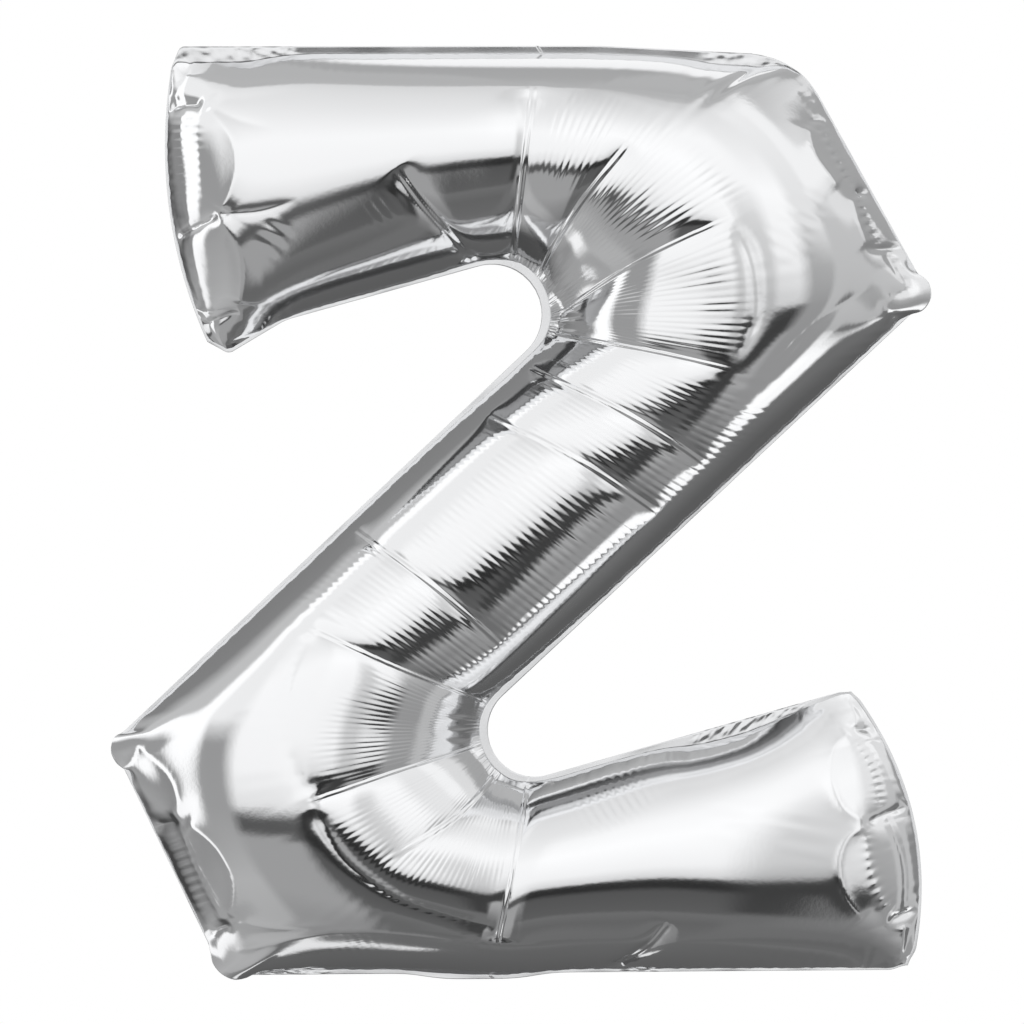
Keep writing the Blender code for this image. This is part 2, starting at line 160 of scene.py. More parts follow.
# Creases by name: points along each in the photograph's pixels, then in millimetres its depth, half the gap
# between its two lines and how far its sides slope out, then the shares of its length over which it fades
# in and out, and how many dashes break it up. A ridge has a negative depth.
CREASES = {
    "upper_fan_first": (((533, 92), (522, 180), (512, 266)), 4.5, 3, 10, 0.1, 0, 0),
    "upper_fan_second": (((628, 147), (580, 207), (538, 274)), 4, 2.5, 10, 0.2, 0, 0),
    "upper_fan_third": (((726, 222), (640, 262), (550, 316)), 4, 1.5, 10, 0.3, 0, 0),
    "upper_fan_fourth": (((730, 371), (635, 350), (546, 331)), 4, 1.5, 10, 0.3, 0, 0),
    "diagonal_first": (((702, 463), (620, 412), (528, 366)), 3, 2.5, 9, 0.15, 0.1, 0),
    "diagonal_second": (((657, 514), (580, 462), (488, 414)), 3, 2.5, 9, 0.15, 0.1, 0),
    "diagonal_third": (((500, 642), (430, 582), (355, 528)), 3, 2.5, 9, 0.15, 0.1, 0),
    "lower_fan_first": (((486, 704), (400, 666), (314, 627)), 4, 1.5, 10, 0, 0.1, 0),
    "lower_fan_second": (((490, 742), (400, 768), (314, 797)), 4, 1.5, 10, 0, 0.1, 0),
    "lower_fan_third": (((504, 765), (455, 815), (380, 860)), 3, 2.5, 9, 0, 0.4, 0),
    "lower_fan_fourth": (((527, 778), (514, 860), (499, 940)), 4.5, 2, 10, 0, 0.05, 0),
    "upper_bar_double": (((397, 172), (428, 214), (474, 263)), 4, 3, 8, 0.2, 0, 0),
    "bottom_bar_double": (((668, 918), (650, 943), (620, 964)), 3, 2.5, 6, 0.3, 0, 0),
    "left_end_upper_pinch": (((169, 107), (186, 105), (206, 105)), 4.5, 0, 5, 0, 0.3, 0),
    "left_end_upper_wrinkle": (((206, 106), (238, 122), (276, 133)), 1.2, 0, 6, 0.1, 0.5, 0),
    "left_end_middle_ridge": (
        ((206, 107), (232, 136), (240, 166), (233, 194), (223, 213)), -2, 0, 10, 0.1, 0.1, 0
    ),
    "left_end_lower_pinch": (((175, 239), (198, 228), (222, 216)), 4.5, 0, 5, 0, 0.3, 0),
    "left_end_lower_wrinkle": (((222, 216), (262, 214), (300, 202)), 1.2, 0, 6, 0.1, 0.5, 0),
    "left_end_lower_ridge": (((223, 219), (240, 245), (245, 275), (241, 306)), -1.8, 0, 9, 0.1, 0.1, 0),
    "left_end_foot_pinch": (((198, 328), (222, 318), (242, 312)), 3.5, 0, 5, 0, 0.4, 0),
    "right_corner_pinch": (((826, 122), (815, 120), (804, 126)), 2.5, 0, 4, 0, 0.4, 0),
    "right_corner_fold": (((798, 90), (809, 100), (818, 114)), 1.5, 0, 4, 0.2, 0.2, 4),
    "right_edge_long_ridge": (((808, 128), (812, 158), (836, 190)), -2.6, 0, 9, 0.1, 0.1, 0),
    "right_edge_line": (((817, 127), (831, 152), (844, 177), (852, 187)), 2, 0, 4, 0.1, 0.1, 9),
    "right_edge_upper_pinch": (((875, 189), (862, 193), (850, 196)), 4.5, 0, 5, 0, 0.4, 0),
    "right_edge_ridge": (((852, 198), (853, 215), (858, 235), (864, 248)), -1.5, 0, 7, 0.1, 0.1, 0),
    "right_edge_dashes": (((858, 201), (866, 222), (878, 245)), 2.4, 0, 3.5, 0.1, 0.1, 6),
    "right_edge_lower_pinch": (((900, 246), (885, 249), (861, 250)), 4, 0, 5, 0, 0.4, 0),
    "right_tip_fold": (((886, 253), (902, 277), (917, 286)), 3, 0, 5, 0.1, 0.2, 0),
    "right_tip_foot": (((888, 298), (900, 293), (915, 287)), 3, 0, 5, 0.1, 0.2, 0),
    "right_tip_lower_pinch": (((894, 320), (887, 310), (880, 301)), 3, 0, 4, 0, 0.4, 0),
    "right_web_valley": (((875, 287), (832, 312), (792, 347), (750, 394)), 2, 0, 12, 0.2, 0.3, 0),
    "left_tip_pinch": (((120, 769), (130, 757), (141, 744)), 2.5, 0, 4, 0, 0.3, 0),
    "left_edge_upper_ridge": (((142, 745), (171, 771), (180, 798), (176, 818)), -1.8, 0, 8, 0.1, 0.1, 0),
    "left_edge_upper_pinch": (((148, 831), (165, 824), (183, 820)), 3.5, 0, 5, 0, 0.3, 0),
    "left_edge_lower_arc": (((184, 823), (199, 866), (216, 900), (225, 920)), -1.2, 0, 6, 0.1, 0.1, 0),
    "left_edge_lower_ridge": (((188, 820), (219, 842), (238, 878), (232, 917)), -2, 0, 9, 0.1, 0.1, 0),
    "left_edge_lower_pinch": (((205, 938), (218, 930), (234, 921)), 3.5, 0, 5, 0, 0.3, 0),
    "left_foot_line": (((235, 921), (285, 924), (340, 921)), -1, 0, 4, 0.1, 0.5, 0),
    "bottom_ridge": (((236, 950), (300, 934), (350, 927), (430, 930), (499, 938)), -1.2, 0, 6, 0.1, 0, 0),
    "right_end_corner_ridge": (((852, 690), (852, 708), (855, 728)), -1.5, 0, 6, 0, 0.1, 0),
    "right_end_corner_fold": (((832, 688), (824, 702), (812, 718)), 0.6, 0, 8, 0, 0.4, 0),
    "right_end_upper_pinch": (((886, 727), (870, 728), (850, 730)), 3.5, 0, 5, 0, 0.4, 0),
    "right_end_upper_ridge": (
        ((850, 732), (832, 748), (829, 777), (841, 807), (864, 820)), -2, 0, 8, 0.1, 0.1, 0
    ),
    "right_end_upper_line": (((855, 739), (873, 771), (880, 806)), 1.2, 0, 4, 0.1, 0.1, 11),
    "right_end_middle_pinch": (((909, 806), (888, 812), (865, 821)), 4.5, 0, 5, 0, 0.3, 0),
    "right_end_middle_ridge": (
        ((866, 825), (846, 835), (836, 862), (844, 895), (862, 918)), -2, 0, 8, 0.1, 0.1, 0
    ),
    "right_end_middle_line": (((865, 828), (868, 865), (885, 903), (902, 914)), -0.7, 0, 3, 0.1, 0.1, 14),
    "right_end_outer_line": (((886, 815), (902, 859), (904, 909)), 1.2, 0, 4, 0.1, 0.1, 0),
    "right_end_lower_pinch": (((920, 908), (905, 913), (884, 921)), 4, 0, 5, 0, 0.3, 0),
    "right_end_foot_ridge": (((903, 924), (901, 946), (907, 964)), -1.5, 0, 5, 0.1, 0.1, 0),
    "lower_fan_rim": (((318, 803), (345, 852), (398, 893), (450, 912), (497, 925)), 3, 0, 7, 0.1, 0.1, 0),
    "upper_fan_rim": (((728, 226), (748, 262), (752, 318), (732, 368)), 3, 0, 8, 0.3, 0.3, 0),
    "lower_pillow_rim": (((312, 632), (290, 680), (290, 745), (312, 792)), 2.5, 0, 8, 0.1, 0.1, 0),
}

# How high the film between a crease's two lines stands, as a share of its depth.
CREASE_RIDGE = 0.35

# Small groups of parallel wrinkles: the middle in the photograph's pixels, the direction in degrees in
# which they repeat, their wavelength, the group's half length and half width in pixels, and their height.
WRINKLE_GROUPS = {
    "top_bar": ((388, 210), 40, 9.0, 20, 12, 0.00015),
    "bottom_bar": ((612, 800), 33, 8.5, 36, 22, 0.00016),
    "left_foot": ((352, 950), 30, 8.0, 28, 14, 0.00012),
    "upper_inner_corner": ((562, 325), 90, 10.0, 17, 13, 0.00040),
    "lower_inner_corner": ((457, 722), 90, 12.0, 24, 11, 0.00040),
    "right_corner": ((792, 228), 65, 13.0, 34, 20, 0.00018),
    "left_end_foot": ((275, 240), 60, 14.0, 18, 14, 0.00030),
    "right_end": ((775, 830), 80, 19.0, 20, 60, 0.00018),
    "left_edge": ((184, 872), -67, 9.0, 44, 15, 0.00032),
    "left_end_pillow": ((186, 162), 88, 8.5, 44, 15, 0.00030),
}

# Fine gathers along the seam: their height at the seam, their spacing, and how far in they reach, as a
# share across the tube and in metres from its ends.
GATHER_HEIGHT = 0.00026
GATHER_SPACING = 0.0042
GATHER_REACH = 0.060
END_GATHER_REACH = 0.014
# About how wide the flat tube is, how long its end seams are, and how near the seam no other relief starts.
TUBE_WIDTH = 0.30
END_LENGTH = 0.27
SEAM_HOLD = 0.010

# Where the sealed border is crumpled: a pixel of the photograph and a distance from it. Elsewhere it waves
# a little, and along the top edge it leans forwards.
CRUMPLED_BORDER = {
    "top_left": ((215, 50), 0.060),
    "left_tab": ((265, 50), 0.034),
    "right_tab": ((748, 55), 0.048),
    "bottom_left": ((270, 970), 0.060),
    "right_end": ((750, 716), 0.062),
    "bottom_crease": ((640, 965), 0.020),
}
CALM_WAVE = 0.00008
CRUMPLED_WAVE = 0.0007
TOP_BORDER_LEAN = 0.0012
TOP_BORDER_HEIGHTS = (0.400, 0.418)
WAVE_CYCLES = (23, 41, 68)
# The border's rows of points, from just inside the seam to the outer edge.
BORDER_ROWS = (-0.15, 0.1, 0.25, 0.4, 0.55, 0.7, 0.85, 1.0)

# The film simulation's grids, each with its column spacing, its rows, the push on each step, how far points
# are evened out, how strongly short links push back inside and along the seam, and its sweeps.
FILM_LEVELS = (
    (0.024, 14, np.linspace(6e-4, 2e-4, 500), 0.02, 0.1, 0.3, 2),
    (0.012, 28, np.geomspace(2e-4, 2e-5, 400), 0.01, 0.3, 0.5, 3),
    (0.006, 56, np.geomspace(3e-5, 4e-6, 400), 0.005, 0.3, 0.5, 4),
)
SLANTING_PUSH_BACK = 0.3
# The form that it starts from: how deep the tube is, and how far its ends are rounded.
START_DEPTH = 0.09
START_CAP = 0.1
# Over what length the seam's misses are evened out, and over what share across the rest of them fades.
FIT_REACH = 0.025
FIT_SHARE = 0.16

# Pleats along the ribs: the stretch of ribs that they cover, the shares across where they start and end,
# counted from the upper edge, and their strength.
PLEATS = (
    (4.0, 5.0, 0.30, 0.66, 0.95),
    (5.0, 7.0, 0.36, 0.78, 0.80),
    (7.0, 9.0, 0.42, 0.82, 0.55),
    (9.0, 13.0, 0.16, 0.84, 0.60),
    (13.0, 15.0, 0.12, 0.50, 0.55),
    (15.0, 18.0, 0.12, 0.54, 0.50),
)
PLEAT_WAVELENGTH = 0.0066
# The shares of its length that the film takes up in pleats, and how far its columns lie apart, within
# limits.
SQUEEZE_LIMITS = (0.004, 0.05)
SPREAD_LIMITS = (0.05, 1.15)

# Where the simulation's own coarse wrinkles are evened out along the tube, by ribs and by shares across:
# most on the smooth sides, least on the outer sides of the fans, and more again on the diagonal.
SMOOTH_SIDES = (
    ((8.15, 8.5, 12.2, 12.9), (0.28, 0.14)),
    ((9.3, 10.0, 13.6, 13.9), (0.72, 0.86)),
    ((16.1, 16.4, 19.2, 20.0), (0.74, 0.88)),
)
FAN_SIDES = (
    ((4.0, 6.0, 9.0, 10.5), (0.48, 0.22)),
    ((12.0, 13.5, 16.5, 18.5), (0.52, 0.78)),
)
DIAGONAL = (9.2, 10.0, 12.0, 12.8)
EVENING = 0.4
EVENING_ROUNDS = 80

# Seams where the film is gathered into pillows between pinches: the seam's two ends, each as a place on the
# flat upper edge, 0, or lower edge, 1, the pinches as shares of its length, and how far the pillows stand
# out.
GATHERED_SEAMS = {
    "left_end": ((0, 0), (1, 0), (-0.02, 0.10, 0.54, 0.89, 1.02), 0.0016),
    "right_end": ((1, 6), (0, 6), (-0.02, 0.19, 0.53, 0.81, 1.02), 0.0016),
    "right_corner": ((0, 4), (0, 3), (-0.02, 0.16, 0.455, 0.72, 1.02), 0.0012),
    "left_corner": ((1, 4), (1, 5), (-0.02, 0.08, 0.36, 0.82, 1.02), 0.0012),
}
# How far inside the seam a pillow is highest.
PILLOW_PEAK = 0.012

# The sheet is meshed in three lengths, which meet at the first crease of the upper fan and the last one of
# the lower fan: its column spacing, its count of rows, and the ribs where it starts and ends.
LENGTHS = {
    "top_bar": (0.0017, 181, 0.0, 4.0),
    "middle": (0.00125, 91, 4.0, 18.0),
    "bottom_bar": (0.0017, 181, 18.0, 21.0),
}
# The grid of the whole sheet on which the creases' paths are laid.
PATH_GRID = (0.0025, 145)
SEAM_BAND = "perimeter_seal_band"


def unit(vector):
    return vector / np.linalg.norm(vector)


def run_lengths(points):
    """How far along a line of points each one lies."""
    return np.concatenate([[0.0], np.cumsum(np.linalg.norm(np.diff(points, axis=0), axis=1))])


def smoothstep(values, low, high):
    """0 at low and 1 at high, which may also be the smaller one."""
    share = np.clip((values - low) / (high - low), 0, 1)
    return share * share * (3 - 2 * share)


def between(values, start, full, full_end, end):
    """1 from full to full_end, and 0 before start and after end."""
    return smoothstep(values, start, full) * smoothstep(values, end, full_end)


def inset_edges(upper, lower, distance):
    """Both edges of a letter moved inwards by distance."""
    corners = upper + lower[::-1]
    places = np.array([corner[:2] for corner in corners])
    headings = np.roll(places, -1, axis=0) - places
    headings /= np.linalg.norm(headings, axis=1)[:, None]
    moved = []
    for index, (x, z, radius) in enumerate(corners):
        before, after = headings[index - 1], headings[index]
        bisector = unit(np.array([before[1] + after[1], -before[0] - after[0]]))
        turn = before[0] * after[1] - before[1] * after[0]
        reach = distance / (bisector @ (after[1], -after[0]))
        inner_radius = max(radius + math.copysign(distance, turn), 0.002) if radius else 0.0
        moved.append((x + bisector[0] * reach, z + bisector[1] * reach, inner_radius))
    return moved[: len(upper)], moved[: len(upper) - 1 : -1]


class RoundedEdge:
    """A polyline with round corners. A place on it is counted in corners."""

    def __init__(self, corners, steps=40):
        places = [np.array(corner[:2]) for corner in corners]
        points = [places[0]]
        marks = [0]
        for index in range(1, len(corners) - 1):
            corner, radius = places[index], corners[index][2]
            towards, onwards = (unit(places[index + step] - corner) for step in (-1, 1))
            half_angle = math.acos(np.clip(towards @ onwards, -1, 1)) / 2
            centre = corner + unit(towards + onwards) * radius / math.sin(half_angle)
            start = corner + towards * radius / math.tan(half_angle) - centre
            end = corner + onwards * radius / math.tan(half_angle) - centre
            for k in range(steps + 1):
                spoke = start + (end - start) * k / steps
                points.append(centre + unit(spoke) * radius)
            marks.append(len(points) - 1 - steps // 2)
        points.append(places[-1])
        marks.append(len(points) - 1)
        self.points = np.array(points)
        self.lengths = run_lengths(self.points)
        self.mark_lengths = self.lengths[marks]

    def at(self, places):
        wanted = np.interp(places, np.arange(len(self.mark_lengths)), self.mark_lengths)
        return np.stack([np.interp(wanted, self.lengths, self.points[:, k]) for k in (0, 1)], axis=-1)


def bulge(first, last, across, height):
    """How far an end seam from first to last stands out of its straight line, at the shares across."""
    chord = unit(last - first)
    return np.array([chord[1], -chord[0]]) * (4 * height * across * (1 - across))[:, None]


def letter_grid(edges, columns, across, bulges, fade):
    """Columns by rows of (x, z) between two edges, with bulging end seams that fade into the tube."""
    upper, lower = edges[0].at(columns.upper), edges[1].at(columns.lower)
    grid = upper[:, None] + (lower - upper)[:, None] * across[:, None]
    left_share, right_share = columns.end_shares(fade)
    upper_ends, lower_ends = (edge.at(np.array([0.0, 6.0])) for edge in edges)
    left_end = bulge(upper_ends[0], lower_ends[0], across, bulges[0])
    right_end = bulge(lower_ends[1], upper_ends[1], across, bulges[1])
    return grid + left_share[:, None, None] * left_end + right_share[:, None, None] * right_end


class Columns:
    """Where a grid's columns lie, from the rib first to the rib last, spacing apart. rib is each column's
    place in RIBS, counted in ribs."""

    def __init__(self, spacing, first=0.0, last=len(RIBS) - 1.0):
        ribs = np.array(RIBS)
        fine = np.linspace(0, len(ribs) - 1, 4201)
        counts = np.arange(len(ribs))
        ends = [edge.at(np.interp(fine, counts, ribs[:, k])) for k, edge in enumerate(FLAT_EDGES)]
        steps = 0
        for share, weight in ((0.0, 0.25), (0.5, 0.5), (1.0, 0.25)):
            line = ends[0] + (ends[1] - ends[0]) * share
            steps = steps + weight * np.linalg.norm(np.diff(line, axis=0), axis=1)
        reach = np.concatenate([[0.0], np.cumsum(steps)])
        start, end = np.interp((first, last), fine, reach)
        self.from_left = np.linspace(start, end, round((end - start) / spacing) + 1)
        self.from_right = reach[-1] - self.from_left
        self.from_end = np.minimum(self.from_left, self.from_right)
        self.rib = np.interp(self.from_left, reach, fine)
        self.upper, self.lower = (np.interp(self.rib, counts, ribs[:, k]) for k in (0, 1))

    def end_shares(self, fade):
        """1 at the left and at the right end, and 0 from a fade away."""
        return [np.clip(1 - away / fade, 0, 1) ** 2 for away in (self.from_left, self.from_right)]


FLAT_EDGES = [RoundedEdge(edge) for edge in (FLAT_UPPER_EDGE, FLAT_LOWER_EDGE)]
OUTER_EDGES = [RoundedEdge(edge) for edge in (UPPER_EDGE, LOWER_EDGE)]


class SeamEdge:
    """The seam along one edge: the border's width inside the outer edge."""

    def __init__(self, which, widths):
        self.near, self.far = (
            RoundedEdge(inset_edges(UPPER_EDGE, LOWER_EDGE, width)[which])
            for width in (NARROWEST_BORDER, WIDEST_BORDER)
        )
        self.widths = np.array(widths)

    def at(self, places):
        width = np.interp(places, self.widths[:, 0], self.widths[:, 1])
        share = ((width - NARROWEST_BORDER) / (WIDEST_BORDER - NARROWEST_BORDER))[:, None]
        return self.near.at(places) * (1 - share) + self.far.at(places) * share


SEAM_EDGES = [SeamEdge(0, UPPER_BORDER), SeamEdge(1, LOWER_BORDER)]


def given_way(places):
    """Places (x, z) on the letter, with its sagging bottom edge and its soft corners."""
    x, z = places[..., 0], places[..., 1]
    sag = SAG * np.exp(-(((x - SAG_X) / SAG_HALF_WIDTH) ** 4)) * smoothstep(-z, *SAG_DEPTHS)
    places = places - np.stack([np.zeros_like(sag), sag], axis=-1)
    for corner, move, reach in SOFT_CORNERS:
        share = smoothstep(np.linalg.norm(places - corner, axis=-1), reach, 0)
        places = places + share[..., None] * np.array(move)
    return places


def flat_grid(columns, across):
    return letter_grid(FLAT_EDGES, columns, across, (FLAT_END_BULGE, FLAT_END_BULGE), FLAT_FADE)


def seam_grid(columns, across):
    return letter_grid(SEAM_EDGES, columns, across, END_BULGES, END_FADE)


def resample(grid, column_count, row_count):
    """A grid of points stretched onto another number of columns and rows, straight between its points."""
    for axis, count in ((0, column_count), (1, row_count)):
        size = grid.shape[axis]
        place = np.linspace(0, size - 1, count)
        lower = np.minimum(place.astype(int), size - 2)
        share = np.expand_dims(place - lower, tuple(k for k in range(3) if k != axis))
        grid = np.take(grid, lower, axis) * (1 - share) + np.take(grid, lower + 1, axis) * share
    return grid


def surface_normals(points):
    along = np.gradient(points, axis=0)
    across = np.gradient(points, axis=1)
    normals = np.cross(along, across)
    return normals / np.maximum(np.linalg.norm(normals, axis=-1), 1e-12)[..., None]


def relax(near, far, rest, push_back):
    """Draws linked points to their rest distance: fully where they are too far apart, and by push_back
    where they are too close, because film buckles."""
    link = far - near
    length = np.sqrt((link * link).sum(-1))
    error = length - rest
    share = np.where(error > 0, 1.0, push_back) * error / np.maximum(length, 1e-9)
    move = 0.5 * share[..., None] * link
    near += move
    far -= move


def inflate(points, flat, push, softness, push_back, seam_push_back, sweeps):
    """Blows up one half of the balloon. points are (x, depth, z), and the seam stays at depth 0."""
    points = points.copy()
    seams = np.zeros(points.shape[:2], bool)
    seams[[0, -1]] = True
    seams[:, [0, -1]] = True
    links = []
    for axis, aside in ((0, 0), (1, 0), (0, 1), (0, -1)):
        for start in (0, 1):
            near, far = [slice(None)] * 2, [slice(None)] * 2
            near[axis], far[axis] = slice(start, -1, 2), slice(start + 1, None, 2)
            if aside:
                near[1], far[1] = (slice(None, -1), slice(1, None))[::aside]
            near, far = tuple(near), tuple(far)
            rest = np.linalg.norm(flat[far] - flat[near], axis=-1)
            stiffness = SLANTING_PUSH_BACK if aside else push_back
            stiffness = np.where(seams[near] & seams[far], seam_push_back, stiffness)
            links.append((near, far, rest, stiffness))
    for force in push:
        points += surface_normals(points) * force
        for _ in range(sweeps):
            for near, far, rest, stiffness in links:
                relax(points[near], points[far], rest, stiffness)
            points[1:-1] += softness * ((points[2:] + points[:-2]) / 2 - points[1:-1])
            points[:, 1:-1] += softness * ((points[:, 2:] + points[:, :-2]) / 2 - points[:, 1:-1])
            points[seams, 1] = 0.0
            np.maximum(points[..., 1], 0.0, out=points[..., 1])
    return points


def inflated_half():
    """The film simulation, on a coarse grid and then on finer ones."""
    levels = FILM_LEVELS
    points = None
    for spacing, rows, push, *film in levels:
        columns = Columns(spacing)
        across = np.linspace(0, 1, rows + 1)
        flat, seam = flat_grid(columns, across), seam_grid(columns, across)
        if points is None:
            cap = np.sqrt(1 - (1 - np.clip(columns.from_end / START_CAP, 0, 1)) ** 2)
            depth = START_DEPTH * cap[:, None] * np.sin(math.pi * across)
            points = np.stack([seam[..., 0], depth, seam[..., 1]], axis=-1)
        else:
            points = resample(points, *flat.shape[:2])
        points = inflate(points, flat, push, *film)
    return points, flat, seam, columns, across


def smoothed(values, reach):
    """A running mean with soft ends, along the first axis."""
    offsets = np.arange(-3 * reach, 3 * reach + 1)
    weights = np.exp(-0.5 * (offsets / reach) ** 2)
    weights /= weights.sum()
    padded = np.pad(values, [(3 * reach, 3 * reach)] + [(0, 0)] * (values.ndim - 1), "edge")
    result = np.zeros_like(values)
    for offset, weight in zip(offsets + 3 * reach, weights):
        result += weight * padded[offset : offset + len(values)]
    return result


def fit_to_outline(points, seam, columns, across):
    """Turns and shifts the simulated half onto the letter, then bends it so that its seam lies on the
    letter's seam."""
    places = points[..., [0, 2]]
    edge_points = np.concatenate([places[:, 0], places[:, -1]])
    edge_wanted = np.concatenate([seam[:, 0], seam[:, -1]])
    centre, wanted_centre = edge_points.mean(0), edge_wanted.mean(0)
    left, _, right = np.linalg.svd((edge_points - centre).T @ (edge_wanted - wanted_centre))
    places = (places - centre) @ (left @ right) + wanted_centre
    reach = round(FIT_REACH / (columns.from_left[1] - columns.from_left[0]))
    upper_miss, lower_miss = (smoothed(seam[:, edge] - places[:, edge], reach) for edge in (0, -1))
    miss = upper_miss[:, None] + (lower_miss - upper_miss)[:, None] * across[:, None]
    for share, end in zip(columns.end_shares(END_FADE), (0, -1)):
        miss = miss + share[:, None, None] * (seam[end] - places[end] - miss[end])
    places = places + miss
    for edge, from_edge in ((0, across), (-1, 1 - across)):
        from_tips = [np.linalg.norm(seam[:, edge] - tip, axis=-1) for tip in FREE_TIPS]
        held = smoothstep(np.min(from_tips, axis=0), *FREE_REACH)[:, None]
        left_over = held * (seam[:, edge] - places[:, edge])
        places = places + left_over[:, None] * smoothstep(from_edge, FIT_SHARE, 0.0)[:, None]
    places = given_way(places)
    return np.stack([places[..., 0], points[..., 1], places[..., 1]], axis=-1)


def cubic(values, place, axis):
    """Catmull-Rom reading of values at fractional places along an axis."""
    values = np.moveaxis(values, axis, 0)
    last = len(values) - 1
    base = np.clip(place.astype(int), 0, last - 1)
    t = (place - base).reshape((-1,) + (1,) * (values.ndim - 1))
    before = values[np.maximum(base - 1, 0)]
    first = values[base]
    second = values[base + 1]
    after = values[np.minimum(base + 2, last)]
    blend = 0.5 * (
        2 * first
        + (second - before) * t
        + (2 * before - 5 * first + 4 * second - after) * t**2
        + (3 * first - before - 3 * second + after) * t**3
    )
    return np.moveaxis(blend, 0, axis)


def new_mesh_object(name, points, closed=False):
    """A grid of points as a mesh of quads."""
    columns, rows = points.shape[:2]
    index = np.arange(columns * rows).reshape(columns, rows)
    if closed:
        index = np.concatenate([index, index[:1]])
    quads = np.stack([index[:-1, :-1], index[:-1, 1:], index[1:, 1:], index[1:, :-1]], axis=-1)
    mesh = bpy.data.meshes.new(name)
    mesh.from_pydata(points.reshape(-1, 3).tolist(), [], quads.reshape(-1, 4).tolist())
    mesh.shade_smooth()
    obj = bpy.data.objects.new(name, mesh)
    bpy.context.scene.collection.objects.link(obj)
    return obj


def smooth_noise(along, across, cell_along, cell_across, seed, length=3.0):
    """Smooth random values of about -1 to 1 over a grid whose columns lie at along, which is less than
    length, and whose rows lie at across, which is less than about 1."""
    random = np.random.default_rng(seed)
    lattice = random.uniform(-1, 1, (int(length / cell_along) + 3, int(1.0 / cell_across) + 3))
    return cubic(cubic(lattice, along / cell_along, 0), across / cell_across, 1)


def from_photo(pixels):
    """Photograph pixels as (x, z) in metres."""
    pixels = np.array(pixels, float)
    x = (pixels[:, 0] - MIDDLE_PIXEL[0]) * METRES_PER_PIXEL
    z = (MIDDLE_PIXEL[1] - pixels[:, 1]) * METRES_PER_PIXEL
    return np.stack([x, z], axis=-1)


def path_on_surface(pixels, points, step=0.006):
    """A path given in photograph pixels, laid on the sheet: its points in (x, depth, z)."""
    path = from_photo(pixels)
    count = max(int(run_lengths(path)[-1] / step), 3) + 1
    path = cubic(path, np.linspace(0, len(path) - 1, count), 0)
    x, depth, z = points.reshape(-1, 3).T
    nearest = [np.argmin((x - place[0]) ** 2 + (z - place[1]) ** 2) for place in path]
    return np.stack([path[:, 0], smoothed(depth[nearest], 1), path[:, 1]], axis=-1)


def gathered_seams(flat):
    """For each gathered seam: the share of its length and the distance within it at each point, its pinches
    and its pillows' height. flat holds the points' places on the flat film."""
    for (first_edge, first), (last_edge, last), pinches, height in GATHERED_SEAMS.values():
        start, end = FLAT_EDGES[first_edge].at(first), FLAT_EDGES[last_edge].at(last)
        length = np.linalg.norm(end - start)
        run = (end - start) / length
        inwards = np.array([-run[1], run[0]])
        share = (flat - start) @ run / length
        within = (flat - start) @ inwards
        if first_edge != last_edge:
            within = within + 4 * FLAT_END_BULGE * share * (1 - share)
        yield share, np.maximum(within, 0), np.array(pinches), height


def gathered_height(flat):
    """How far the pillows along the gathered seams stand out of each point of the sheet."""
    total = np.zeros(flat.shape[:2])
    for share, within, pinches, height in gathered_seams(flat):
        index = np.clip(np.searchsorted(pinches, share) - 1, 0, len(pinches) - 2)
        within_pillow = (share - pinches[index]) / (pinches[index + 1] - pinches[index])
        form = np.sqrt(np.maximum(np.sin(math.pi * np.clip(within_pillow, 0, 1)), 0))
        profile = within / PILLOW_PEAK * np.exp(1 - within / PILLOW_PEAK)
        total += height * profile * form
    return total


def crease_depth(points, whole):
    """How deep the creases press each point of the sheet. Their paths are laid on the whole sheet."""
    total = np.zeros(points.shape[:2])
    for pixels, *sizes, fade_in, fade_out, dashes in CREASES.values():
        depth, half_gap, reach = np.array(sizes) / 1000
        path = path_on_surface(pixels, whole)
        margin = half_gap + 5 * reach
        low, high = path.min(0) - margin, path.max(0) + margin
        near = np.nonzero(((points > low) & (points < high)).all(-1))
        local = points[near]
        nearest = np.full(len(local), np.inf)
        share = np.zeros(len(local))
        for index, (start, end) in enumerate(zip(path, path[1:])):
            run = end - start
            t = np.clip((local - start) @ run / max(run @ run, 1e-12), 0, 1)
            distance = np.linalg.norm(local - start - t[:, None] * run, axis=1)
            closer = distance < nearest
            nearest[closer] = distance[closer]
            share[closer] = ((index + t) / (len(path) - 1))[closer]
        fade = 0.5 - 0.5 * np.cos(2 * math.pi * dashes * share) if dashes else 1.0
        if fade_in:
            fade = fade * smoothstep(share, -0.02, fade_in)
        if fade_out:
            fade = fade * smoothstep(1 - share, -0.02, fade_out)
        slope = np.exp(-np.maximum(nearest - half_gap, 0) / reach)
        ridge = CREASE_RIDGE * np.maximum(1 - (nearest / half_gap) ** 2, 0) if half_gap else 0.0
        total[near] += depth * fade * (slope - ridge)
    return total


def wrinkle_height(points):
    """The height of the small groups of parallel wrinkles."""
    total = np.zeros(points.shape[:2])
    for pixel, direction, wavelength, half_length, half_width, height in WRINKLE_GROUPS.values():
        place = (points[..., [0, 2]] - from_photo([pixel])[0]) / METRES_PER_PIXEL
        turn = math.radians(direction)
        along = place[..., 0] * math.cos(turn) + place[..., 1] * math.sin(turn)
        aside = place[..., 1] * math.cos(turn) - place[..., 0] * math.sin(turn)
        share = np.exp(-((along / half_length) ** 4) - (aside / half_width) ** 4)
        total += height * share * np.sin(2 * math.pi * along / wavelength)
    return total


